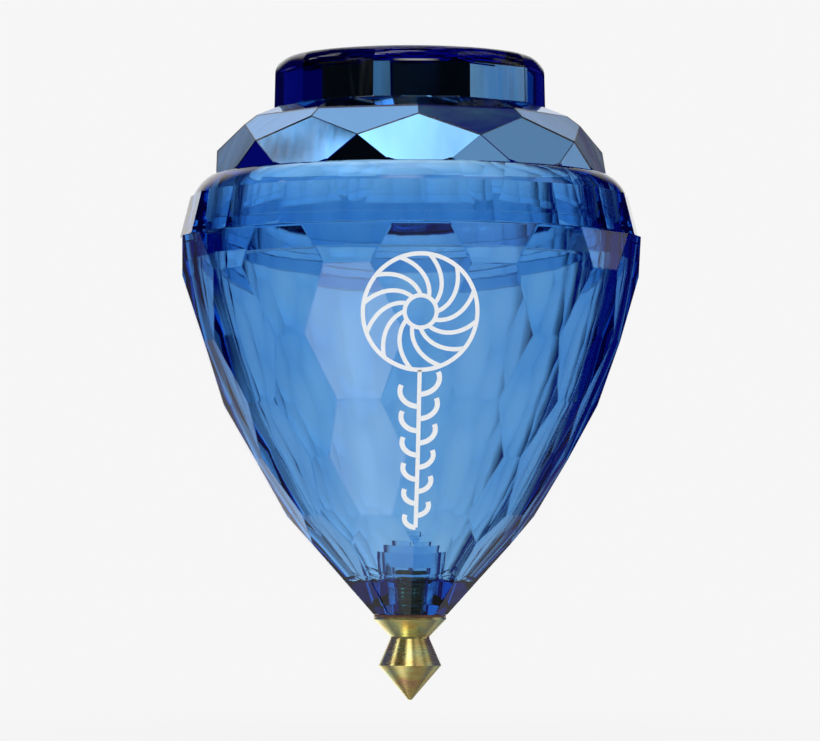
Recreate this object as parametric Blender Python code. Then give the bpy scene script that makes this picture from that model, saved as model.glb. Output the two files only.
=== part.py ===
"""Faceted throwing top: a clear plastic body with a turned metal tip, tip down, spin axis on Z.

Lengths are in metres. The origin is the tip's point, and +Z runs up the spin axis to the crown.
Every faceted piece is a turned blank with flats cut on it. Flats stand in two sets of ten columns
that alternate round the axis: the front set has a column facing -Y, and the side set sits half a
pitch round from it.
"""

import math

import bmesh
import bpy
from mathutils import Vector

MM = 0.001

# Driving dimensions
COLUMNS = 10  # flats in one row, round the axis
HALF_PITCH = math.pi / COLUMNS
FRONT = 0.0  # angle of the front set's first column, from -Y towards +X
SIDE = HALF_PITCH
TURNED_STEPS = 60  # a multiple of twice COLUMNS, so that blanks have a vertex on every column
FINE_STEPS = 40
ROUND_STEPS = 5  # steps in the round of an edge
CLEARANCE = 0.3 * MM
WALL = 2.0 * MM
HEIGHT = 79.65 * MM

# Levels up the axis
NOSE_Z = 10.7 * MM
FLOOR_Z = 15.2 * MM
SEAM_Z = 57.2 * MM
BAND_TOP_Z = 62.4 * MM
RIM_Z = 64.85 * MM
DOME_FOOT_Z = 65.15 * MM
DIAMOND_SIDE_Z = 68.07 * MM
DIAMOND_TOP_Z = 70.75 * MM
LEDGE_FOOT_Z = 71.95 * MM
LEDGE_Z = 72.65 * MM
DOME_TOP_Z = 73.2 * MM

# Radii
NOSE_R = 4.65 * MM
BAND_FOOT_R = 28.2 * MM
BAND_TOP_R = 26.9 * MM
BAND_TOP_LIP = 0.05 * MM  # how far under the shoulder's arc the band's flats start
BAND_SPARE = 0.1 * MM  # what the band's blank has beyond the corners of its flats
SHOULDER_ROUND = 4.84 * MM
SHOULDER_ARC = (56.5, 21.5)  # degrees up from level, at the rim and at the band
MOUTH_R = 24.9 * MM
DOME_R = MOUTH_R - CLEARANCE
DOME_BLANK_R = 25.5 * MM
DOME_FOOT_D = 24.1 * MM  # distance to the side flats at the dome's foot
DIAMOND_SIDE_R = 24.0 * MM
DIAMOND_TOP_R = 21.7 * MM
LEDGE_R = 18.4 * MM
CROWN_R = 16.9 * MM  # over the corners between the flats
CROWN_TOP_R = 16.8 * MM
CROWN_EDGE = 2.0 * MM  # radius of the round on the crown's top edge

# Shell rows: (columns, upper level, distance there, lower level, distance there)
SHELL_ROWS = (
    (SIDE, SEAM_Z, 28.27 * MM, 52.4 * MM, 28.27 * MM),
    (FRONT, SEAM_Z, 28.64 * MM, 44.1 * MM, 26.24 * MM),
    (SIDE, 52.4 * MM, 28.27 * MM, 36.4 * MM, 23.11 * MM),
    (FRONT, 44.1 * MM, 26.24 * MM, 29.7 * MM, 19.83 * MM),
    (SIDE, 36.4 * MM, 23.11 * MM, 22.7 * MM, 15.28 * MM),
    (FRONT, 29.7 * MM, 19.83 * MM, 22.7 * MM, 15.13 * MM),
    (SIDE, 22.7 * MM, 15.28 * MM, NOSE_Z, NOSE_R),
)
SHELL_BLANK_R = 30.5 * MM

# Joint between shell and shoulder ring: the ring's tongue stands inside the shell's mouth
TONGUE_Z = 54.6 * MM
TONGUE_R = 26.2 * MM
TONGUE_BORE_R = 24.1 * MM
CAP_SEAT_Z = 58.3 * MM
SKIRT_WALL = 1.7 * MM

# Crown spigot in the cap
SPIGOT_R = 14.0 * MM
SPIGOT_Z = 70.4 * MM
CROWN_WALL = 1.9 * MM

# Nose: the bush stands in a collar on the floor and is drawn down on a step by the tip's thread
COLLAR_R = 4.6 * MM
COLLAR_TOP_Z = 18.7 * MM
BUSH_R = 3.35 * MM
BUSH_FOOT_Z = 12.6 * MM
BUSH_TOP_Z = 19.7 * MM
NUB_R = 1.66 * MM
NUB_TOP_Z = 20.4 * MM
SHANK_R = 1.67 * MM
SHANK_TOP_Z = 16.6 * MM
SHANK_BORE_R = SHANK_R + CLEARANCE
BORE_TOP_Z = 17.2 * MM

# Washer and tip
WASHER_R = 4.45 * MM
WASHER_TOP_Z = NOSE_Z - CLEARANCE
WASHER_FOOT_Z = WASHER_TOP_Z - 0.3 * MM
FLANGE_R = 4.5 * MM
FLANGE_Z = WASHER_FOOT_Z - CLEARANCE
FLANGE_LAND = 0.3 * MM
NECK_R = 2.42 * MM
NECK_Z = 7.75 * MM
NECK_LAND = 0.16 * MM
GIRTH_R = 3.9 * MM
GIRTH_Z = 4.3 * MM
POINT_R = 0.4 * MM

CLEAR_BLUE = (0.10, 0.30, 0.62)
DEEP_BLUE = (0.06, 0.20, 0.50)
YELLOW_ZINC = (0.62, 0.55, 0.26)
FIBRE_BROWN = (0.22, 0.09, 0.05)


def clear_scene():
    for item in list(bpy.data.objects):
        bpy.data.objects.remove(item)


def finish_of(name, colour, roughness, metallic):
    finish = bpy.data.materials.new(name)
    finish.use_nodes = True
    shader = finish.node_tree.nodes["Principled BSDF"]
    shader.inputs["Base Color"].default_value = (*colour, 1.0)
    shader.inputs["Roughness"].default_value = roughness
    shader.inputs["Metallic"].default_value = metallic
    return finish


def heading(angle):
    """The level direction at an angle from -Y towards +X."""
    return Vector((math.sin(angle), -math.cos(angle), 0.0))


def ten_sided(angle):
    """How far out a ten-sided outline lies at an angle, as a share of its corner radius."""
    pitch = 2 * HALF_PITCH
    off_column = (angle + HALF_PITCH) % pitch - HALF_PITCH
    return math.cos(HALF_PITCH) / math.cos(off_column)


def ring_of(blank, radius, level, steps, flatness=0.0):
    """A ring of vertices, or one vertex where the radius is nothing.

    The ring is round at flatness 0 and ten-sided at flatness 1.
    """
    if radius == 0.0:
        return [blank.verts.new((0.0, 0.0, level))]
    points = []
    for step in range(steps):
        angle = 2 * math.pi * step / steps
        reach = radius * (1.0 + flatness * (ten_sided(angle) - 1.0))
        spot = heading(angle) * reach
        points.append(blank.verts.new((spot.x, spot.y, level)))
    return points


def turned(profile, steps, closed=False):
    """A turned solid. The profile is (radius, level) pairs; an open one ends on the axis.

    A third number in a profile point is its ring's flatness.
    """
    blank = bmesh.new()
    rings = [ring_of(blank, point[0], point[1], steps, *point[2:]) for point in profile]
    pairs = list(zip(rings, rings[1:]))
    if closed:
        pairs.append((rings[-1], rings[0]))
    for upper, lower in pairs:
        for step in range(steps):
            after = (step + 1) % steps
            corners = [upper[step % len(upper)], upper[after % len(upper)]]
            corners += [lower[after % len(lower)], lower[step % len(lower)]]
            blank.faces.new(list(dict.fromkeys(corners)))
    bmesh.ops.recalc_face_normals(blank, faces=blank.faces[:])
    return blank


def cut_flat(blank, angle, high, low):
    """Cuts one flat through two (distance, level) pairs, across the column at this angle."""
    outward = heading(angle)
    fall = high[1] - low[1]
    slope = (low[0] - high[0]) / fall
    normal = (outward + Vector((0.0, 0.0, slope))).normalized()
    spot = outward * low[0] + Vector((0.0, 0.0, low[1]))
    geometry = blank.verts[:] + blank.edges[:] + blank.faces[:]
    cut = bmesh.ops.bisect_plane(
        blank, geom=geometry, plane_co=spot, plane_no=normal, clear_outer=True, dist=1e-8
    )
    rim = [item for item in cut["geom_cut"] if isinstance(item, bmesh.types.BMEdge)]
    if rim:
        bmesh.ops.contextual_create(blank, geom=rim)


def cut_row(blank, first, high, low, count=COLUMNS):
    for index in range(count):
        cut_flat(blank, first + 2 * math.pi * index / count, high, low)


def make_object(name, blank, finish, smooth_below=30.0):
    mesh = bpy.data.meshes.new(name)
    bmesh.ops.recalc_face_normals(blank, faces=blank.faces[:])
    blank.to_mesh(mesh)
    blank.free()
    mesh.shade_smooth()
    mesh.set_sharp_from_angle(angle=math.radians(smooth_below))
    mesh.materials.append(finish)
    piece = bpy.data.objects.new(name, mesh)
    bpy.context.scene.collection.objects.link(piece)
    return piece


def make_cutter(name, blank, target):
    """Takes a turned shape out of the target."""
    mesh = bpy.data.meshes.new(name)
    blank.to_mesh(mesh)
    blank.free()
    cutter = bpy.data.objects.new(name, mesh)
    bpy.context.scene.collection.objects.link(cutter)
    cutter.hide_render = True
    cutter.display_type = "WIRE"
    cutter.parent = target
    cut = target.modifiers.new(name, "BOOLEAN")
    cut.operation = "DIFFERENCE"
    cut.object = cutter


def arc(centre, radius, start, end, steps):
    """Points on an arc in the (radius, level) plane. Angles are in degrees from the outward axis."""
    points = []
    for step in range(steps + 1):
        turn = math.radians(start + (end - start) * step / steps)
        points.append((centre[0] + radius * math.cos(turn), centre[1] + radius * math.sin(turn)))
    return points


def flat_distance(level):
    """The least distance from the axis to the shell's flats at a level."""
    nearest = SHELL_BLANK_R
    for _, high_z, high_d, low_z, low_d in SHELL_ROWS:
        along = (high_z - level) / (high_z - low_z)
        nearest = min(nearest, high_d + (low_d - high_d) * along)
    return nearest


def shell_cavity():
    """The hollow inside the shell, one wall in from the flats, down to a floor with the collar."""
    steps = 9
    mouth = TONGUE_R + CLEARANCE
    ledge_z = TONGUE_Z - CLEARANCE
    profile = [(0.0, RIM_Z), (mouth, RIM_Z), (mouth, ledge_z)]
    for step in range(1, steps + 1):
        level = ledge_z + (FLOOR_Z - ledge_z) * step / steps
        profile.append((flat_distance(level) - WALL, level))
    profile += [
        (COLLAR_R, FLOOR_Z),
        (COLLAR_R, COLLAR_TOP_Z),
        (BUSH_R + CLEARANCE, COLLAR_TOP_Z),
        (BUSH_R + CLEARANCE, BUSH_FOOT_Z - CLEARANCE),
        (SHANK_BORE_R, BUSH_FOOT_Z - CLEARANCE),
        (SHANK_BORE_R, NOSE_Z - WALL),
        (0.0, NOSE_Z - WALL),
    ]
    return turned(profile, TURNED_STEPS)


def make_shell(finish):
    top = SEAM_Z - CLEARANCE / 2
    blank = turned(
        [(0.0, top), (SHELL_BLANK_R, top), (SHELL_BLANK_R, NOSE_Z), (0.0, NOSE_Z)], 2 * COLUMNS
    )
    for first, high_z, high_d, low_z, low_d in SHELL_ROWS:
        cut_row(blank, first, (high_d, high_z), (low_d, low_z))
    shell = make_object("lower_shell", blank, finish, smooth_below=1.0)
    make_cutter("shell_cavity_cutter", shell_cavity(), shell)
    return shell


def make_shoulder_ring(finish):
    foot = SEAM_Z + CLEARANCE / 2
    corner_out = 1.0 / math.cos(HALF_PITCH / 2)
    start, end = SHOULDER_ARC
    centre = (
        BAND_TOP_R - SHOULDER_ROUND * math.cos(math.radians(end)),
        BAND_TOP_Z - SHOULDER_ROUND * math.sin(math.radians(end)),
    )
    profile = arc(centre, SHOULDER_ROUND, start, end, ROUND_STEPS)
    profile += [
        (BAND_TOP_R * corner_out, BAND_TOP_Z - BAND_TOP_LIP),
        (BAND_FOOT_R * corner_out + BAND_SPARE, foot),
        (TONGUE_R, foot),
        (TONGUE_R, TONGUE_Z),
        (TONGUE_BORE_R, TONGUE_Z),
        (TONGUE_BORE_R, CAP_SEAT_Z),
        (MOUTH_R, CAP_SEAT_Z),
        (MOUTH_R, RIM_Z),
    ]
    blank = turned(profile, TURNED_STEPS, closed=True)
    high, low = (BAND_TOP_R, BAND_TOP_Z), (BAND_FOOT_R, SEAM_Z)
    cut_row(blank, HALF_PITCH / 2, high, low, 2 * COLUMNS)
    return make_object("shoulder_ring", blank, finish, smooth_below=7.0)


def make_cap(finish):
    """The domed cap: diamond flats in the front columns, triangles and a ledge in the side ones."""
    foot = CAP_SEAT_Z + CLEARANCE
    inner = DOME_R - SKIRT_WALL
    opening = SPIGOT_R + CLEARANCE
    profile = [
        (opening, DOME_TOP_Z),
        (CROWN_R, DOME_TOP_Z),
        (DOME_BLANK_R, LEDGE_Z),
        (DOME_BLANK_R, DOME_FOOT_Z),
        (DOME_R, DOME_FOOT_Z),
        (DOME_R, foot),
        (inner, foot),
        (inner, DOME_FOOT_Z),
        (DIAMOND_TOP_R - SKIRT_WALL, DIAMOND_SIDE_Z + SKIRT_WALL / 2),
        (opening, LEDGE_Z - SKIRT_WALL),
    ]
    blank = turned(profile, TURNED_STEPS, closed=True)
    corner = math.cos(HALF_PITCH)
    side = (DIAMOND_SIDE_R, DIAMOND_SIDE_Z)
    shoulder = (DIAMOND_TOP_R * corner, DIAMOND_TOP_Z)
    upper_fall = (side[0] - shoulder[0]) / (shoulder[1] - side[1])
    ledge_foot = (shoulder[0] - upper_fall * (LEDGE_FOOT_Z - DIAMOND_TOP_Z), LEDGE_FOOT_Z)
    cut_row(blank, FRONT, (DIAMOND_TOP_R, DIAMOND_TOP_Z), (side[0] * corner, side[1]))
    cut_row(blank, SIDE, side, (DOME_FOOT_D, DOME_FOOT_Z))
    cut_row(blank, SIDE, shoulder, side)
    cut_row(blank, SIDE, (LEDGE_R * corner, LEDGE_Z), ledge_foot)
    return make_object("domed_cap", blank, finish, smooth_below=7.0)


def make_crown(finish):
    """The hollow crown: ten flats, a top edge that rounds off, and a spigot down into the cap."""
    foot = DOME_TOP_Z + CLEARANCE
    bore = SPIGOT_R - CROWN_WALL
    corner = (CROWN_TOP_R - CROWN_EDGE, HEIGHT - CROWN_EDGE)
    edge = arc(corner, CROWN_EDGE, 90.0, 0.0, ROUND_STEPS)
    profile = [(0.0, HEIGHT)]
    profile += [(radius, level, index / len(edge)) for index, (radius, level) in enumerate(edge)]
    profile += [
        (CROWN_R, foot, 1.0),
        (SPIGOT_R, foot),
        (SPIGOT_R, SPIGOT_Z),
        (bore, SPIGOT_Z),
        (bore, HEIGHT - CROWN_WALL),
        (0.0, HEIGHT - CROWN_WALL),
    ]
    return make_object("crown", turned(profile, TURNED_STEPS), finish, smooth_below=20.0)


def make_tip_bush(finish):
    """The threaded bush that stands in the collar. Its blind hole takes the tip's shank."""
    profile = [
        (0.0, NUB_TOP_Z),
        (NUB_R, NUB_TOP_Z),
        (NUB_R, BUSH_TOP_Z),
        (BUSH_R, BUSH_TOP_Z),
        (BUSH_R, BUSH_FOOT_Z),
        (SHANK_BORE_R, BUSH_FOOT_Z),
        (SHANK_BORE_R, BORE_TOP_Z),
        (0.0, BORE_TOP_Z),
    ]
    return make_object("tip_bush", turned(profile, FINE_STEPS), finish)


def make_seat_washer(finish):
    profile = [
        (WASHER_R, WASHER_TOP_Z),
        (WASHER_R, WASHER_FOOT_Z),
        (SHANK_BORE_R, WASHER_FOOT_Z),
        (SHANK_BORE_R, WASHER_TOP_Z),
    ]
    return make_object("seat_washer", turned(profile, FINE_STEPS, closed=True), finish)


def make_tip(finish):
    """The turned tip: shank, flange, waist and double cone down to a rounded point."""
    half_angle = math.degrees(math.atan2(GIRTH_R, GIRTH_Z))
    profile = [
        (0.0, SHANK_TOP_Z),
        (SHANK_R, SHANK_TOP_Z),
        (SHANK_R, FLANGE_Z),
        (FLANGE_R, FLANGE_Z),
        (FLANGE_R, FLANGE_Z - FLANGE_LAND),
        (NECK_R, NECK_Z + NECK_LAND),
        (NECK_R, NECK_Z - NECK_LAND),
        (GIRTH_R, GIRTH_Z),
    ]
    profile += arc((0.0, POINT_R), POINT_R, half_angle - 90.0, -90.0, ROUND_STEPS)[:-1]
    profile.append((0.0, 0.0))
    return make_object("tip", turned(profile, FINE_STEPS), finish)


def main():
    clear_scene()
    clear = finish_of("clear_blue_plastic", CLEAR_BLUE, 0.05, 0.0)
    deep = finish_of("deep_blue_plastic", DEEP_BLUE, 0.05, 0.0)
    zinc = finish_of("yellow_zinc_steel", YELLOW_ZINC, 0.35, 1.0)
    fibre = finish_of("brown_fibre", FIBRE_BROWN, 0.8, 0.0)
    make_shell(clear)
    make_shoulder_ring(clear)
    make_cap(deep)
    make_crown(deep)
    make_tip_bush(clear)
    make_seat_washer(fibre)
    make_tip(zinc)


main()
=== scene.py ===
"""Faceted throwing top: looks. A body of clear blue plastic mouldings and a turned metal tip.

Lengths are in metres and angles in radians unless a name says otherwise. +Z is the spin axis and
-Y is the middle of one column of flats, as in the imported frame.
"""

import math

import bmesh
import bpy
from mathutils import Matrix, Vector


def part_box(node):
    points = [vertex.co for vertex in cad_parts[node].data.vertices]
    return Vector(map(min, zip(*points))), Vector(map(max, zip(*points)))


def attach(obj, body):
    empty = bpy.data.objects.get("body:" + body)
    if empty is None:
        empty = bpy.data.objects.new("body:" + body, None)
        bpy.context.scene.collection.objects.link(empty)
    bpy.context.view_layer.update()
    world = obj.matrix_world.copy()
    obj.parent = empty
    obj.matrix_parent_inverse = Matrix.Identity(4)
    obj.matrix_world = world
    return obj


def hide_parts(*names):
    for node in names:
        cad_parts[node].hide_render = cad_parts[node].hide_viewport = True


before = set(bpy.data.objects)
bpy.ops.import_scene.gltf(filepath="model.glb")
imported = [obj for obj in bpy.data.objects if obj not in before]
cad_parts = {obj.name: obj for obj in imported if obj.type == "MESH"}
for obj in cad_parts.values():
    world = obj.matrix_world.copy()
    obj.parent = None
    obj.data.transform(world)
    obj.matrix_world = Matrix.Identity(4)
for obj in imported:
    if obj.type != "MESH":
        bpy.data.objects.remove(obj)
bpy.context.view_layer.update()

# ---------------------------------------------------------------- sizes

MM = 0.001
COLUMNS = 10
HALF_PITCH = math.pi / COLUMNS
FRONT = 0.0
SIDE = HALF_PITCH
FINE = 180  # steps round a turned surface
SMALL = 96  # steps round a small turned surface
JOINT_GAP = 0.06 * MM  # what is left between two pieces that are welded or pressed together
PACKED_GAP = 0.3 * MM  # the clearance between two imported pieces
SHANK_GAP = 0.1 * MM  # between the shank and its bore
WASHER_GAP = 0.03 * MM  # over and under the washer

SHELL_LOW, SHELL_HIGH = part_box("lower_shell")
RING_LOW, RING_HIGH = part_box("shoulder_ring")
CAP_LOW, CAP_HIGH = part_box("domed_cap")
CROWN_LOW, CROWN_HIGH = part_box("crown")
BUSH_LOW, BUSH_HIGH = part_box("tip_bush")
WASHER_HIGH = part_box("seat_washer")[1]
TIP_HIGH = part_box("tip")[1]

SEAM_Z = SHELL_HIGH.z + PACKED_GAP / 2
NOSE_Z = SHELL_LOW.z - PACKED_GAP / 2
WALL = 2.0 * MM
FLOOR_Z = 15.2 * MM
RIM_Z = RING_HIGH.z
TONGUE_Z = RING_LOW.z
DOME_TOP_Z = CAP_HIGH.z
TOP_Z = CROWN_HIGH.z

SHELL_ROWS = (
    (SIDE, SEAM_Z, 28.27 * MM, 52.4 * MM, 28.27 * MM),
    (FRONT, SEAM_Z, 28.64 * MM, 44.1 * MM, 26.24 * MM),
    (SIDE, 52.4 * MM, 28.27 * MM, 36.4 * MM, 23.11 * MM),
    (FRONT, 44.1 * MM, 26.24 * MM, 29.7 * MM, 19.83 * MM),
    (SIDE, 36.4 * MM, 23.11 * MM, 22.7 * MM, 15.28 * MM),
    (FRONT, 29.7 * MM, 19.83 * MM, 22.7 * MM, 15.13 * MM),
    (SIDE, 22.7 * MM, 15.28 * MM, 10.7 * MM, 4.65 * MM),
)
SHELL_BLANK_R = 30.5 * MM
FLOOR_ROUND = 0.8 * MM  # where the inner wall meets the floor
COLLAR_R = 4.6 * MM
COLLAR_TOP_Z = 18.7 * MM
BUSH_R = BUSH_HIGH.x
BUSH_TOP_Z = 19.7 * MM
NUB_R = 1.66 * MM
SHANK_R = 1.67 * MM
SHANK_BORE_R = SHANK_R + SHANK_GAP
SHANK_TOP_Z = TIP_HIGH.z
BORE_TOP_Z = SHANK_TOP_Z + PACKED_GAP

TONGUE_R = 26.2 * MM
TONGUE_BORE_R = 24.1 * MM
CAP_SEAT_Z = CAP_LOW.z - PACKED_GAP
MOUTH_R = CAP_HIGH.x + PACKED_GAP
BAND_FOOT_R = 28.2 * MM
BAND_TOP_R = 26.9 * MM
BAND_TOP_Z = 62.4 * MM
BAND_TOP_LIP = 0.05 * MM  # how far under the shoulder's arc the band's flats start
BAND_SPARE = 0.1 * MM  # what the band's blank has beyond the corners of its flats
SHOULDER_ROUND = 4.84 * MM
SHOULDER_ARC = (56.5, 21.5)

DOME_R = CAP_HIGH.x
DOME_BLANK_R = 25.5 * MM
DOME_FOOT_Z = 65.15 * MM
DOME_FOOT_D = 24.1 * MM
DIAMOND_SIDE_Z = 68.07 * MM
DIAMOND_SIDE_R = 24.0 * MM
DIAMOND_TOP_Z = 70.75 * MM
DIAMOND_TOP_R = 21.7 * MM
LEDGE_FOOT_Z = 71.95 * MM
LEDGE_Z = 72.65 * MM
LEDGE_R = 18.4 * MM
SKIRT_WALL = 1.7 * MM
LINING_Z = 64.3 * MM
DOME_WALL = 0.3 * MM
CROWN_R = CROWN_HIGH.x
CROWN_TOP_R = 16.8 * MM
CROWN_EDGE = 2.0 * MM
SPIGOT_R = 14.0 * MM
CROWN_WALL = 1.9 * MM
HOLLOW_TURN = math.radians(7.0)
SHELL_EDGE = 0.14 * MM  # how far the edges between the shell's flats are rounded
CAP_EDGE = 0.1 * MM  # the same on the cap and the crown

FLANGE_R = TIP_HIGH.x
FLANGE_Z = 10.28 * MM
NECK_R = 2.42 * MM
NECK_Z = 7.75 * MM
GIRTH_R = 3.9 * MM
GIRTH_Z = 4.3 * MM
POINT_R = 0.4 * MM
THREAD_PITCH = 0.6 * MM
THREAD_DEPTH = 0.3 * MM
THREAD_RELIEF = 1.2 * MM  # plain shank between the thread and the flange
FLANGE_LAND = 0.3 * MM
NECK_LAND = 0.12 * MM
TURNED_EDGE = 0.05 * MM  # what is broken off the tip's sharp edges

# ---------------------------------------------------------------- shapes


def heading(angle):
    """The level direction at an angle from -Y towards +X."""
    return Vector((math.sin(angle), -math.cos(angle), 0.0))


def ten_sided(angle):
    """How far out a ten-sided outline lies at an angle, as a share of its corner radius."""
    pitch = 2 * HALF_PITCH
    off_column = (angle + HALF_PITCH) % pitch - HALF_PITCH
    return math.cos(HALF_PITCH) / math.cos(off_column)


def ring_of(blank, radius, level, steps, flatness=0.0):
    if radius == 0.0:
        return [blank.verts.new((0.0, 0.0, level))]
    points = []
    for step in range(steps):
        angle = 2 * math.pi * step / steps
        reach = radius * (1.0 + flatness * (ten_sided(angle) - 1.0))
        points.append(blank.verts.new(heading(angle) * reach + Vector((0.0, 0.0, level))))
    return points


def turned(profile, steps=FINE, closed=False):
    """A turned solid from (radius, level) pairs, or (radius, level, flatness)."""
    blank = bmesh.new()
    rings = [ring_of(blank, point[0], point[1], steps, *point[2:]) for point in profile]
    pairs = list(zip(rings, rings[1:]))
    if closed:
        pairs.append((rings[-1], rings[0]))
    for upper, lower in pairs:
        for step in range(steps):
            after = (step + 1) % steps
            corners = [upper[step % len(upper)], upper[after % len(upper)]]
            corners += [lower[after % len(lower)], lower[step % len(lower)]]
            blank.faces.new(list(dict.fromkeys(corners)))
    bmesh.ops.recalc_face_normals(blank, faces=blank.faces[:])
    return blank


def cut_flat(blank, angle, high, low):
    """Cuts one flat through two (distance, level) pairs, across the column at this angle."""
    outward = heading(angle)
    slope = (low[0] - high[0]) / (high[1] - low[1])
    normal = (outward + Vector((0.0, 0.0, slope))).normalized()
    spot = outward * low[0] + Vector((0.0, 0.0, low[1]))
    geometry = blank.verts[:] + blank.edges[:] + blank.faces[:]
    cut = bmesh.ops.bisect_plane(
        blank, geom=geometry, plane_co=spot, plane_no=normal, clear_outer=True, dist=1e-8
    )
    rim = [item for item in cut["geom_cut"] if isinstance(item, bmesh.types.BMEdge)]
    if rim:
        bmesh.ops.contextual_create(blank, geom=rim)


def cut_row(blank, first, high, low, count=COLUMNS):
    for index in range(count):
        cut_flat(blank, first + 2 * math.pi * index / count, high, low)


def arc(centre, radius, start, end, steps):
    """Points on an arc in the (radius, level) plane, from start to end in degrees."""
    points = []
    for step in range(steps + 1):
        turn = math.radians(start + (end - start) * step / steps)
        points.append((centre[0] + radius * math.cos(turn), centre[1] + radius * math.sin(turn)))
    return points


def soft_edges(blank, width, least=4.0, segments=2):
    """Rounds every edge sharper than the least angle, as a polished mould leaves it."""
    sharp = []
    for edge in blank.edges:
        if len(edge.link_faces) == 2 and edge.calc_face_angle() > math.radians(least):
            sharp.append(edge)
    bmesh.ops.bevel(
        blank,
        geom=sharp,
        offset=width,
        segments=segments,
        profile=0.5,
        affect="EDGES",
        clamp_overlap=True,
    )


def make_mesh(name, blank):
    mesh = bpy.data.meshes.new(name)
    bmesh.ops.recalc_face_normals(blank, faces=blank.faces[:])
    blank.to_mesh(mesh)
    blank.free()
    return mesh


def shade(mesh, smooth_below=3.0):
    mesh.shade_smooth()
    mesh.set_sharp_from_angle(angle=math.radians(smooth_below))


def make_piece(name, blank, finish, smooth_below=3.0):
    mesh = make_mesh(name, blank)
    shade(mesh, smooth_below)
    mesh.materials.append(finish)
    piece = bpy.data.objects.new(name, mesh)
    bpy.context.scene.collection.objects.link(piece)
    return piece


def take_away(piece, blank):
    """Cuts a turned shape out of a piece and applies the cut."""
    cutter = bpy.data.objects.new("cutter", make_mesh("cutter", blank))
    bpy.context.scene.collection.objects.link(cutter)
    cut = piece.modifiers.new("cut", "BOOLEAN")
    cut.operation = "DIFFERENCE"
    cut.object = cutter
    depsgraph = bpy.context.evaluated_depsgraph_get()
    result = bpy.data.meshes.new_from_object(piece.evaluated_get(depsgraph))
    piece.modifiers.remove(cut)
    shade(result)
    piece.data = result
    bpy.data.objects.remove(cutter)


def line_inside(piece, lining, above):
    """Gives what looks towards the axis, or down, the lining's finish from a level upwards."""
    piece.data.materials.append(lining)
    blank = bmesh.new()
    blank.from_mesh(piece.data)
    geometry = blank.verts[:] + blank.edges[:] + blank.faces[:]
    level = Vector((0.0, 0.0, above))
    bmesh.ops.bisect_plane(blank, geom=geometry, plane_co=level, plane_no=(0.0, 0.0, 1.0), dist=1e-8)
    for face in blank.faces:
        middle = face.calc_center_median()
        outward = Vector((middle.x, middle.y, 0.0)).normalized()
        inner = face.normal.z < -0.1 or face.normal.dot(outward) < -0.1
        if inner and middle.z > above:
            face.material_index = 1
    blank.to_mesh(piece.data)
    blank.free()
    shade(piece.data)


def cut_rows(blank, rows, wall=0.0):
    """Cuts every row of flats, moved in by the wall square to each flat."""
    for first, high_z, high_d, low_z, low_d in rows:
        inset = wall * math.hypot(1.0, (low_d - high_d) / (high_z - low_z))
        cut_row(blank, first, (high_d - inset, high_z), (low_d - inset, low_z))


def flat_distance(level):
    """The least distance from the axis to the shell's flats at a level."""
    nearest = SHELL_BLANK_R
    for _, high_z, high_d, low_z, low_d in SHELL_ROWS:
        along = (high_z - level) / (high_z - low_z)
        nearest = min(nearest, high_d + (low_d - high_d) * along)
    return nearest


def smooth_wall(high, low):
    """The shell's inner wall: the flats' distance less the wall, averaged so it has no creases."""
    steps = 60
    reach = 2.5 * MM  # how far up and down each point's average goes
    half_count = 4
    offsets = [k / half_count for k in range(-half_count, half_count + 1)]
    points = []
    for step in range(steps + 1):
        level = high + (low - high) * step / steps
        near = [flat_distance(level + reach * offset) for offset in offsets]
        points.append((sum(near) / len(near) - WALL, level))
    return points


def declare(piece, node, body):
    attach(piece, body)
    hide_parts(node)


# ---------------------------------------------------------------- materials


BLUE = (0.03, 0.534, 0.866)


def shader_of(name):
    finish = bpy.data.materials.new(name)
    finish.use_nodes = True
    tree = finish.node_tree
    return finish, tree, tree.nodes["Principled BSDF"]


def surface_noise(tree, scale, detail, stretch=(1.0, 1.0, 1.0)):
    """Noise over the piece's own coordinates, in metres times the scale."""
    place = tree.nodes.new("ShaderNodeTexCoord")
    spread = tree.nodes.new("ShaderNodeMapping")
    spread.inputs["Scale"].default_value = stretch
    noise = tree.nodes.new("ShaderNodeTexNoise")
    noise.inputs["Scale"].default_value = scale
    noise.inputs["Detail"].default_value = detail
    tree.links.new(place.outputs["Object"], spread.inputs["Vector"])
    tree.links.new(spread.outputs["Vector"], noise.inputs["Vector"])
    return noise.outputs["Fac"]


def remap(tree, source, low, high, start=0.0, end=1.0):
    node = tree.nodes.new("ShaderNodeMapRange")
    node.inputs["From Min"].default_value = start
    node.inputs["From Max"].default_value = end
    node.inputs["To Min"].default_value = low
    node.inputs["To Max"].default_value = high
    tree.links.new(source, node.inputs["Value"])
    return node.outputs["Result"]


def bump_of(tree, height, strength, distance):
    node = tree.nodes.new("ShaderNodeBump")
    node.inputs["Strength"].default_value = strength
    node.inputs["Distance"].default_value = distance
    tree.links.new(height, node.inputs["Height"])
    return node.outputs["Normal"]


def clear_plastic(name, density, ior=1.5):
    """Polished clear plastic, tinted by the light's path through it."""
    finish, tree, shader = shader_of(name)
    shader.inputs["Base Color"].default_value = (1.0, 1.0, 1.0, 1.0)
    shader.inputs["Transmission Weight"].default_value = 1.0
    shader.inputs["IOR"].default_value = ior
    wear = surface_noise(tree, 90.0, 4.0)
    tree.links.new(remap(tree, wear, 0.01, 0.05, 0.35, 0.75), shader.inputs["Roughness"])
    ripple = surface_noise(tree, 260.0, 2.0, (1.0, 1.0, 0.3))
    normal = bump_of(tree, ripple, 0.22, 0.2 * MM)
    tree.links.new(normal, shader.inputs["Normal"])
    depth = tree.nodes.new("ShaderNodeVolumeAbsorption")
    depth.inputs["Color"].default_value = (*BLUE, 1.0)
    depth.inputs["Density"].default_value = density
    tree.links.new(depth.outputs["Volume"], tree.nodes["Material Output"].inputs["Volume"])
    return finish


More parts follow.
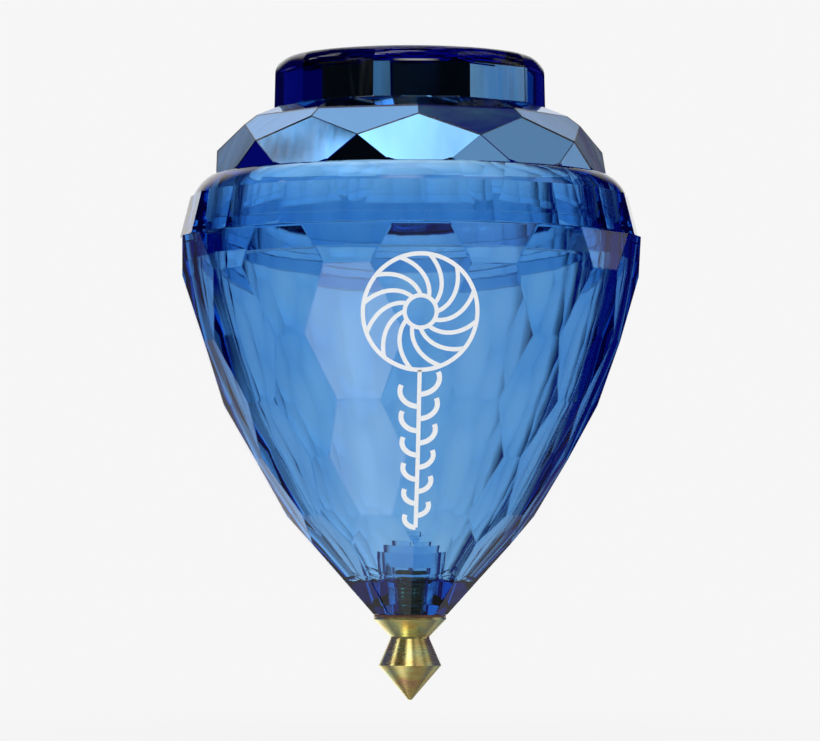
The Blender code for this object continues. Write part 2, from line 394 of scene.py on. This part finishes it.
def bright_lining(name, tint):
    """A thin bright metal film on the inside of a moulding, slightly uneven."""
    finish, tree, shader = shader_of(name)
    shader.inputs["Base Color"].default_value = (*tint, 1.0)
    shader.inputs["Metallic"].default_value = 1.0
    wear = surface_noise(tree, 120.0, 4.0)
    tree.links.new(remap(tree, wear, 0.02, 0.07, 0.35, 0.75), shader.inputs["Roughness"])
    ripple = surface_noise(tree, 65.0, 1.0)
    tree.links.new(bump_of(tree, ripple, 0.6, 0.2 * MM), shader.inputs["Normal"])
    return finish


def yellow_zinc(name):
    """Turned steel with yellow zinc plating: lathe lines round the axis and shifting tints."""
    finish, tree, shader = shader_of(name)
    shader.inputs["Metallic"].default_value = 0.9
    tint = surface_noise(tree, 260.0, 3.0, (1.0, 1.0, 2.2))
    ramp = tree.nodes.new("ShaderNodeValToRGB")
    stops = (
        (0.30, (0.70, 0.40, 0.22)),
        (0.45, (0.84, 0.66, 0.22)),
        (0.55, (0.86, 0.82, 0.34)),
        (0.70, (0.58, 0.68, 0.38)),
    )
    for index, (place, colour) in enumerate(stops):
        stop = ramp.color_ramp.elements[index] if index < 2 else ramp.color_ramp.elements.new(place)
        stop.position = place
        stop.color = (*colour, 1.0)
    tree.links.new(tint, ramp.inputs["Fac"])
    tree.links.new(ramp.outputs["Color"], shader.inputs["Base Color"])
    lines = surface_noise(tree, 900.0, 5.0, (0.02, 0.02, 12.0))
    tree.links.new(remap(tree, lines, 0.16, 0.32, 0.3, 0.7), shader.inputs["Roughness"])
    tree.links.new(bump_of(tree, lines, 0.25, 0.03 * MM), shader.inputs["Normal"])
    return finish


def white_ink(name):
    finish, tree, shader = shader_of(name)
    grain = surface_noise(tree, 2500.0, 3.0)
    ramp = tree.nodes.new("ShaderNodeValToRGB")
    ramp.color_ramp.elements[0].color = (0.80, 0.84, 0.88, 1.0)
    ramp.color_ramp.elements[1].color = (0.97, 0.98, 1.0, 1.0)
    tree.links.new(grain, ramp.inputs["Fac"])
    tree.links.new(ramp.outputs["Color"], shader.inputs["Base Color"])
    tree.links.new(remap(tree, grain, 0.4, 0.6), shader.inputs["Roughness"])
    tree.links.new(bump_of(tree, grain, 0.2, 0.01 * MM), shader.inputs["Normal"])
    return finish


def fibre(name):
    finish, tree, shader = shader_of(name)
    grain = surface_noise(tree, 1500.0, 4.0)
    ramp = tree.nodes.new("ShaderNodeValToRGB")
    ramp.color_ramp.elements[0].color = (0.07, 0.025, 0.015, 1.0)
    ramp.color_ramp.elements[1].color = (0.20, 0.09, 0.05, 1.0)
    tree.links.new(grain, ramp.inputs["Fac"])
    tree.links.new(ramp.outputs["Color"], shader.inputs["Base Color"])
    tree.links.new(remap(tree, grain, 0.6, 0.9), shader.inputs["Roughness"])
    tree.links.new(bump_of(tree, grain, 0.3, 0.02 * MM), shader.inputs["Normal"])
    return finish


# ---------------------------------------------------------------- pieces


def make_shell(finish):
    """The faceted cup: seven rows of flats outside, a smooth turned wall inside."""
    profile = [(0.0, SEAM_Z), (SHELL_BLANK_R, SEAM_Z), (SHELL_BLANK_R, NOSE_Z), (0.0, NOSE_Z)]
    blank = turned(profile, 2 * COLUMNS)
    cut_rows(blank, SHELL_ROWS)
    soft_edges(blank, SHELL_EDGE)
    shell = make_piece("shell_clear", blank, finish)
    mouth = TONGUE_R + JOINT_GAP
    ledge_z = TONGUE_Z - JOINT_GAP
    bush_bore = BUSH_R + JOINT_GAP
    cavity = [(0.0, ledge_z + WALL), (mouth - JOINT_GAP, ledge_z + WALL)]
    foot = FLOOR_Z + FLOOR_ROUND
    cavity += smooth_wall(ledge_z - 0.1 * MM, foot)
    cavity += arc((cavity[-1][0] - FLOOR_ROUND, foot), FLOOR_ROUND, 0.0, -90.0, 8)[1:]
    cavity.append((0.0, FLOOR_Z))
    take_away(shell, turned(cavity))
    take_away(shell, turned([(0.0, RIM_Z), (mouth, RIM_Z), (mouth, ledge_z), (0.0, ledge_z)]))
    bores = [
        (0.0, COLLAR_TOP_Z + WALL),
        (bush_bore, COLLAR_TOP_Z + WALL),
        (bush_bore, BUSH_LOW.z - JOINT_GAP),
        (SHANK_BORE_R, BUSH_LOW.z - JOINT_GAP),
        (SHANK_BORE_R, NOSE_Z - WALL),
        (0.0, NOSE_Z - WALL),
    ]
    take_away(shell, turned(bores))
    declare(shell, "lower_shell", "top")


def make_collar(finish):
    """The shell's collar, a thin-tinted ring standing on its floor round the bush."""
    foot = FLOOR_Z + JOINT_GAP / 3
    bore = BUSH_R + JOINT_GAP
    profile = [(COLLAR_R, COLLAR_TOP_Z), (COLLAR_R, foot), (bore, foot), (bore, COLLAR_TOP_Z)]
    collar = make_piece("collar_clear", turned(profile, closed=True), finish)
    declare(collar, "lower_shell", "top")


def make_shoulder_ring(finish):
    foot = SEAM_Z + JOINT_GAP
    corner_out = 1.0 / math.cos(HALF_PITCH / 2)
    start, end = SHOULDER_ARC
    centre = (
        BAND_TOP_R - SHOULDER_ROUND * math.cos(math.radians(end)),
        BAND_TOP_Z - SHOULDER_ROUND * math.sin(math.radians(end)),
    )
    profile = arc(centre, SHOULDER_ROUND, start, end, 18)
    profile += [
        (BAND_TOP_R * corner_out, BAND_TOP_Z - BAND_TOP_LIP),
        (BAND_FOOT_R * corner_out + BAND_SPARE, foot),
        (TONGUE_R, foot),
        (TONGUE_R, TONGUE_Z),
        (TONGUE_BORE_R, TONGUE_Z),
        (TONGUE_BORE_R, CAP_SEAT_Z),
        (MOUTH_R, CAP_SEAT_Z),
        (MOUTH_R, RIM_Z),
    ]
    blank = turned(profile, closed=True)
    cut_row(blank, HALF_PITCH / 2, (BAND_TOP_R, BAND_TOP_Z), (BAND_FOOT_R, SEAM_Z), 2 * COLUMNS)
    ring = make_piece("shoulder_clear", blank, finish)
    declare(ring, "shoulder_ring", "top")


def cap_rows():
    corner = math.cos(HALF_PITCH)
    side_d = DIAMOND_SIDE_R
    shoulder_d = DIAMOND_TOP_R * corner
    fall = (side_d - shoulder_d) / (DIAMOND_TOP_Z - DIAMOND_SIDE_Z)
    foot_d = shoulder_d - fall * (LEDGE_FOOT_Z - DIAMOND_TOP_Z)
    return (
        (FRONT, DIAMOND_TOP_Z, DIAMOND_TOP_R, DIAMOND_SIDE_Z, side_d * corner),
        (SIDE, DIAMOND_SIDE_Z, side_d, DOME_FOOT_Z, DOME_FOOT_D),
        (SIDE, DIAMOND_TOP_Z, shoulder_d, DIAMOND_SIDE_Z, side_d),
        (SIDE, LEDGE_Z, LEDGE_R * corner, LEDGE_FOOT_Z, foot_d),
    )


def make_cap(finish, lining):
    """The domed cap: four rows of flats outside and inside, and a plain skirt below."""
    foot = CAP_SEAT_Z + JOINT_GAP
    inner = DOME_R - SKIRT_WALL
    opening = SPIGOT_R + JOINT_GAP
    ceiling = DOME_TOP_Z - DOME_WALL
    profile = [
        (opening, DOME_TOP_Z),
        (CROWN_R, DOME_TOP_Z),
        (DOME_BLANK_R, LEDGE_Z),
        (DOME_BLANK_R, DOME_FOOT_Z),
        (DOME_R, DOME_FOOT_Z),
        (DOME_R, foot),
        (opening, foot),
    ]
    blank = turned(profile, closed=True)
    cut_rows(blank, cap_rows())
    soft_edges(blank, CAP_EDGE, least=8.0)
    cap = make_piece("cap_clear", blank, finish)
    below = foot - SKIRT_WALL
    hollow = turned(
        [
            (0.0, ceiling),
            (DOME_BLANK_R, ceiling),
            (DOME_BLANK_R, LINING_Z),
            (inner, LINING_Z),
            (inner, below),
            (0.0, below),
        ]
    )
    cut_rows(hollow, cap_rows(), DOME_WALL)
    take_away(cap, hollow)
    line_inside(cap, lining, LINING_Z)
    declare(cap, "domed_cap", "top")


def make_crown(finish, lining):
    """The ten-sided crown over a ten-sided hollow that is turned a little from the outside."""
    foot = DOME_TOP_Z + JOINT_GAP
    bore = SPIGOT_R - CROWN_WALL
    corner = (CROWN_TOP_R - CROWN_EDGE, TOP_Z - CROWN_EDGE)
    edge = arc(corner, CROWN_EDGE, 90.0, 0.0, 14)
    profile = [(0.0, TOP_Z)]
    profile += [(radius, level, index / len(edge)) for index, (radius, level) in enumerate(edge)]
    profile += [
        (CROWN_R, foot, 1.0),
        (SPIGOT_R, foot),
        (SPIGOT_R, CROWN_LOW.z),
        (bore, CROWN_LOW.z),
        (bore, foot + WALL),
        (0.0, foot + WALL),
    ]
    blank = turned(profile)
    soft_edges(blank, CAP_EDGE, least=12.0)
    crown = make_piece("crown_clear", blank, finish)
    hollow_r = CROWN_R / math.cos(HALF_PITCH)
    ceiling = TOP_Z - CROWN_WALL
    hollow = turned([(0.0, ceiling), (hollow_r, ceiling), (hollow_r, foot), (0.0, foot)])
    wall = CROWN_R * math.cos(HALF_PITCH) - CROWN_WALL
    cut_row(hollow, HOLLOW_TURN, (wall, TOP_Z), (wall, foot))
    take_away(crown, hollow)
    line_inside(crown, lining, foot)
    declare(crown, "crown", "top")


def make_bush(finish):
    profile = [
        (0.0, BUSH_HIGH.z),
        (NUB_R, BUSH_HIGH.z),
        (NUB_R, BUSH_TOP_Z),
        (BUSH_R, BUSH_TOP_Z),
        (BUSH_R, BUSH_LOW.z),
        (SHANK_BORE_R, BUSH_LOW.z),
        (SHANK_BORE_R, BORE_TOP_Z),
        (0.0, BORE_TOP_Z),
    ]
    blank = turned(profile, SMALL)
    bush = make_piece("bush_clear", blank, finish, smooth_below=10.0)
    declare(bush, "tip_bush", "top")


def make_washer(finish):
    top = NOSE_Z - WASHER_GAP
    foot = FLANGE_Z + WASHER_GAP
    inner = SHANK_R + PACKED_GAP / 2
    profile = [(WASHER_HIGH.x, top), (WASHER_HIGH.x, foot), (inner, foot), (inner, top)]
    blank = turned(profile, SMALL, closed=True)
    washer = make_piece("washer_fibre", blank, finish, smooth_below=10.0)
    declare(washer, "seat_washer", "washer")


def make_tip(finish):
    """The turned tip. Its thread is a stack of rings, which a screw thread looks like from the side."""
    half_angle = math.degrees(math.atan2(GIRTH_R, GIRTH_Z))
    root = SHANK_R - THREAD_DEPTH
    turns = int((SHANK_TOP_Z - FLANGE_Z - THREAD_RELIEF) / THREAD_PITCH)
    profile = [(0.0, SHANK_TOP_Z), (root, SHANK_TOP_Z)]
    for index in range(turns):
        level = SHANK_TOP_Z - (index + 0.5) * THREAD_PITCH
        profile += [(SHANK_R, level), (root, level - THREAD_PITCH / 2)]
    profile += [
        (SHANK_R, FLANGE_Z),
        (FLANGE_R - TURNED_EDGE, FLANGE_Z),
        (FLANGE_R, FLANGE_Z - TURNED_EDGE),
        (FLANGE_R, FLANGE_Z - FLANGE_LAND),
        (NECK_R, NECK_Z + NECK_LAND),
        (NECK_R, NECK_Z - NECK_LAND),
        (GIRTH_R - TURNED_EDGE, GIRTH_Z + 0.1 * MM),
        (GIRTH_R, GIRTH_Z),
        (GIRTH_R - TURNED_EDGE, GIRTH_Z - 0.07 * MM),
    ]
    profile += arc((0.0, POINT_R), POINT_R, half_angle - 90.0, -90.0, 10)[:-1]
    profile.append((0.0, 0.0))
    blank = turned(profile, 128)
    tip = make_piece("tip_turned", blank, finish, smooth_below=12.0)
    declare(tip, "tip", "tip")


# ---------------------------------------------------------------- print

PRINT_LIFT = 0.04 * MM
PRINT_STEP = 0.3 * MM
PRINT_LINE = 0.5 * MM
WHEEL_Z = 46.6 * MM
WHEEL_R = 6.8 * MM
WHEEL_HUB_R = 1.9 * MM
WHEEL_SPOKES = 12
STEM_TOP_Z = WHEEL_Z - WHEEL_R
STEM_FOOT_Z = 21.2 * MM
LEAVES = 12


def shell_depth(across, level):
    """How far towards -Y the shell's flats lie at a place on the front of the shell."""
    depth = SHELL_BLANK_R
    for first, high_z, high_d, low_z, low_d in SHELL_ROWS:
        flat_d = high_d + (low_d - high_d) * (high_z - level) / (high_z - low_z)
        for column in (-2, -1, 0, 1):
            turn = first + 2 * HALF_PITCH * column
            depth = min(depth, (flat_d - across * math.sin(turn)) / math.cos(turn))
    return depth


def ink_line(blank, path, width, lift):
    """A ribbon of ink along (across, level) points, laid on the flats."""
    sides = []
    for index, (across, level) in enumerate(path):
        before = path[max(index - 1, 0)]
        after = path[min(index + 1, len(path) - 1)]
        along = Vector((after[0] - before[0], after[1] - before[1])).normalized()
        pair = []
        for side in (-0.5, 0.5):
            x = across - along.y * width * side
            z = level + along.x * width * side
            pair.append(blank.verts.new((x, -shell_depth(x, z) - lift, z)))
        sides.append(pair)
    for (a, b), (c, d) in zip(sides, sides[1:]):
        blank.faces.new((a, b, d, c))


def ink_curve(blank, place, length, width=PRINT_LINE, lift=PRINT_LIFT):
    """A ribbon along place(share), the share running from 0 to 1."""
    steps = max(2, int(length / PRINT_STEP))
    ink_line(blank, [place(step / steps) for step in range(steps + 1)], width, lift)


def ink_ring(blank, level, radius):
    def place(share):
        turn = 2 * math.pi * share
        return radius * math.cos(turn), level + radius * math.sin(turn)

    ink_curve(blank, place, 2 * math.pi * radius, lift=1.4 * PRINT_LIFT)


def ink_spoke(blank, turn):
    """One curved spoke from the wheel's hub to its rim."""

    def place(share):
        radius = WHEEL_HUB_R + (WHEEL_R - WHEEL_HUB_R) * share
        angle = turn + 0.9 * share
        return radius * math.cos(angle), WHEEL_Z + radius * math.sin(angle)

    ink_curve(blank, place, 1.2 * (WHEEL_R - WHEEL_HUB_R))


def ink_leaf(blank, level, reach, side):
    """One curled leaf, rising outwards from the stem."""

    def place(share):
        turn = 0.62 * math.pi * share
        return side * reach * math.sin(turn), level + 0.8 * reach * (1.0 - math.cos(turn))

    ink_curve(blank, place, 1.6 * reach, 0.6 * MM)


def ink_stem(blank):
    def place(share):
        return 0.0, STEM_TOP_Z + (STEM_FOOT_Z - STEM_TOP_Z) * share

    ink_curve(blank, place, STEM_TOP_Z - STEM_FOOT_Z, lift=1.4 * PRINT_LIFT)


def make_print(finish):
    """A white spiral wheel over a stem with leaves, for decoration only."""
    blank = bmesh.new()
    ink_ring(blank, WHEEL_Z, WHEEL_R)
    ink_ring(blank, WHEEL_Z, WHEEL_HUB_R)
    for spoke in range(WHEEL_SPOKES):
        ink_spoke(blank, 2 * math.pi * spoke / WHEEL_SPOKES)
    ink_stem(blank)
    spacing = (STEM_TOP_Z - STEM_FOOT_Z) / (LEAVES + 1)
    for leaf in range(LEAVES):
        side = 1.0 if leaf % 2 else -1.0
        ink_leaf(blank, STEM_FOOT_Z + spacing * leaf, (1.4 + 0.09 * leaf) * MM, side)
    bmesh.ops.recalc_face_normals(blank, faces=blank.faces[:])
    ink = make_piece("print_ink", blank, finish, smooth_below=20.0)
    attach(ink, "top")


# ---------------------------------------------------------------- studio

CAMERA_TURN = math.radians(-2.7)
CAMERA_DISTANCE = 0.558
CAMERA_HEIGHT = 15.2 * MM
FOCAL_PIXELS = 4500.0
FRAME_WIDTH = 820.0
AIM_UP = math.radians(2.63)
PALE = 0.921
FLOOR_WHITE = 0.1  # the rest of the floor's tone is its own glow, as on a light table
FLOOR_DROP = 4.0 * MM  # leaves room for the tip when it is unscrewed


def make_camera():
    data = bpy.data.cameras.new("camera")
    data.sensor_width = 36.0
    data.lens = FOCAL_PIXELS / FRAME_WIDTH * data.sensor_width
    data.clip_start = 0.01
    data.clip_end = 50.0
    camera = bpy.data.objects.new("camera", data)
    bpy.context.scene.collection.objects.link(camera)
    camera.location = heading(CAMERA_TURN) * CAMERA_DISTANCE + Vector((0.0, 0.0, CAMERA_HEIGHT))
    camera.rotation_euler = (math.radians(90.0) + AIM_UP, 0.0, CAMERA_TURN)
    bpy.context.scene.camera = camera


def math_node(tree, operation, first, second=None):
    node = tree.nodes.new("ShaderNodeMath")
    node.operation = operation
    for socket, value in zip(node.inputs, (first, second)):
        if value is None:
            continue
        if isinstance(value, (int, float)):
            socket.default_value = value
        else:
            tree.links.new(value, socket)
    return node.outputs["Value"]


def soft_card(tree, across, up, centre, half, soft):
    """One soft-edged rectangle of light on the sky. All four are (across, up) pairs in degrees."""
    sides = []
    for value, middle, reach, blur in zip((across, up), centre, half, soft):
        off = math_node(tree, "ABSOLUTE", math_node(tree, "SUBTRACT", value, middle))
        sides.append(remap(tree, off, 1.0, 0.0, reach - blur, reach + blur))
    return math_node(tree, "MULTIPLY", *sides)


CARDS = (  # (across, up) middle, half size, edge blur, brightness
    ((-3.0, -23.0), (22.0, 44.0), (7.0, 4.0), 0.95),  # backdrop
    ((-4.0, 39.0), (28.0, 18.0), (8.0, 4.0), 0.95),  # backdrop, upper part
    ((-8.0, 68.0), (32.0, 11.0), (10.0, 4.0), 0.9),  # backdrop, where it leans over
    ((-24.0, -25.0), (28.0, 18.0), (10.0, 7.0), 0.42),  # brighter foot of the backdrop
    ((42.0, -30.0), (10.0, 12.0), (4.0, 4.0), 0.35),  # paper curling round on the right
    ((83.5, 6.0), (20.0, 7.0), (1.0, 3.0), 0.65),  # strip on the right
    ((141.0, 14.0), (10.0, 11.0), (3.0, 4.0), 0.6),  # soft box, front right
    ((135.0, 50.0), (20.0, 8.0), (6.0, 4.0), 0.8),  # soft box, upper right
    ((-172.0, 50.0), (14.0, 9.0), (4.0, 4.0), 2.7),  # lamp over the camera
    ((188.0, 50.0), (14.0, 9.0), (4.0, 4.0), 2.7),
    ((0.0, 90.0), (200.0, 9.0), (5.0, 3.0), 1.0),  # overhead
    ((-97.0, 34.0), (6.0, 6.5), (0.8, 0.8), 2.5),  # small lamp, upper left
    ((92.0, 42.0), (12.0, 10.0), (4.0, 4.0), 0.5),  # reflector, upper right
    ((-117.0, 5.0), (5.0, 6.0), (1.0, 2.0), 0.42),  # strip on the left
    ((-118.0, -24.0), (8.0, 9.0), (2.0, 2.0), 0.7),  # reflector, low left
    ((-145.0, -31.0), (14.0, 12.0), (2.0, 2.0), 2.2),  # low reflector, front left
    ((-129.0, -50.0), (14.0, 9.0), (5.0, 3.0), 0.8),  # reflector under the tip, left
    ((-125.0, -62.0), (40.0, 12.0), (10.0, 4.0), 0.9),  # brighter part of the floor, front left
    ((180.0, -26.0), (50.0, 16.0), (8.0, 4.0), 0.3),  # the room behind the camera
    ((-180.0, -26.0), (50.0, 16.0), (8.0, 4.0), 0.3),
    ((0.0, -90.0), (200.0, 38.0), (5.0, 8.0), 0.17),  # the pale floor
)
BLACK = 0.005  # brightness where there is no card
NAVY_CARD = ((0.0, 0.0), (98.0, 88.0), (6.0, 6.0), 0.16)  # deep blue surround, behind and beside


def make_world():
    """A studio on the sky: cards of light for what the plastic shows, one pale tone for the rest."""
    world = bpy.data.worlds.new("studio")
    world.use_nodes = True
    tree = world.node_tree
    place = tree.nodes.new("ShaderNodeTexCoord")
    split = tree.nodes.new("ShaderNodeSeparateXYZ")
    tree.links.new(place.outputs["Generated"], split.inputs["Vector"])
    x, y, z = split.outputs
    across = math_node(tree, "DEGREES", math_node(tree, "ARCTAN2", x, y))
    up = math_node(tree, "DEGREES", math_node(tree, "ARCSINE", z))
    total = BLACK
    for centre, half, soft, strength in CARDS:
        card = soft_card(tree, across, up, centre, half, soft)
        total = math_node(tree, "ADD", total, math_node(tree, "MULTIPLY", card, strength))
    centre, half, soft, strength = NAVY_CARD
    navy = math_node(tree, "MULTIPLY", soft_card(tree, across, up, centre, half, soft), strength)
    colour = tree.nodes.new("ShaderNodeCombineXYZ")
    for channel, value in zip(colour.inputs, (total, total, math_node(tree, "MAXIMUM", total, navy))):
        tree.links.new(value, channel)
    path = tree.nodes.new("ShaderNodeLightPath")
    plain = math_node(
        tree, "MAXIMUM", path.outputs["Is Camera Ray"], path.outputs["Is Diffuse Ray"]
    )
    seen = tree.nodes.new("ShaderNodeMix")
    seen.data_type = "RGBA"
    tree.links.new(plain, seen.inputs["Factor"])
    tree.links.new(colour.outputs["Vector"], seen.inputs[6])
    seen.inputs[7].default_value = (PALE, PALE, PALE, 1.0)
    world.cycles.sampling_method = "NONE"
    tree.links.new(seen.outputs[2], tree.nodes["Background"].inputs["Color"])
    bpy.context.scene.world = world


def make_floor():
    """A wide pale floor a little under the tip."""
    blank = bmesh.new()
    reach = 6.0
    corners = [(-reach, -reach), (reach, -reach), (reach, reach), (-reach, reach)]
    blank.faces.new([blank.verts.new((x, y, -FLOOR_DROP)) for x, y in corners])
    finish, tree, shader = shader_of("floor_pale")
    shader.inputs["Base Color"].default_value = (FLOOR_WHITE, FLOOR_WHITE, FLOOR_WHITE, 1.0)
    shader.inputs["Roughness"].default_value = 1.0
    shader.inputs["Specular IOR Level"].default_value = 0.0
    shader.inputs["Emission Color"].default_value = (1.0, 1.0, 1.0, 1.0)
    shader.inputs["Emission Strength"].default_value = PALE * (1.0 - FLOOR_WHITE)
    floor = make_piece("floor", blank, finish)
    floor.visible_glossy = False
    floor.visible_transmission = False


def main():
    scene = bpy.context.scene
    scene.view_settings.view_transform = "Standard"
    scene.cycles.max_bounces = 24
    scene.cycles.transmission_bounces = 24
    scene.cycles.glossy_bounces = 12
    make_camera()
    make_world()
    make_floor()
    clear = clear_plastic("clear_blue_plastic", 500.0)
    ring_blue = clear_plastic("shoulder_blue_plastic", 380.0)
    deep = clear_plastic("crown_blue_plastic", 500.0)
    thin = clear_plastic("cap_blue_plastic", 80.0)
    silver = bright_lining("silver_lining", (0.92, 0.92, 0.92))
    blue_film = bright_lining("blue_film_lining", (0.15, 0.40, 0.76))
    pale = clear_plastic("collar_blue_plastic", 110.0, ior=1.2)
    bush_blue = clear_plastic("bush_blue_plastic", 110.0, ior=1.2)
    make_shell(clear)
    make_collar(pale)
    make_shoulder_ring(ring_blue)
    make_cap(thin, blue_film)
    make_crown(deep, silver)
    make_bush(bush_blue)
    make_washer(fibre("brown_fibre"))
    make_tip(yellow_zinc("yellow_zinc"))
    make_print(white_ink("white_ink"))


main()
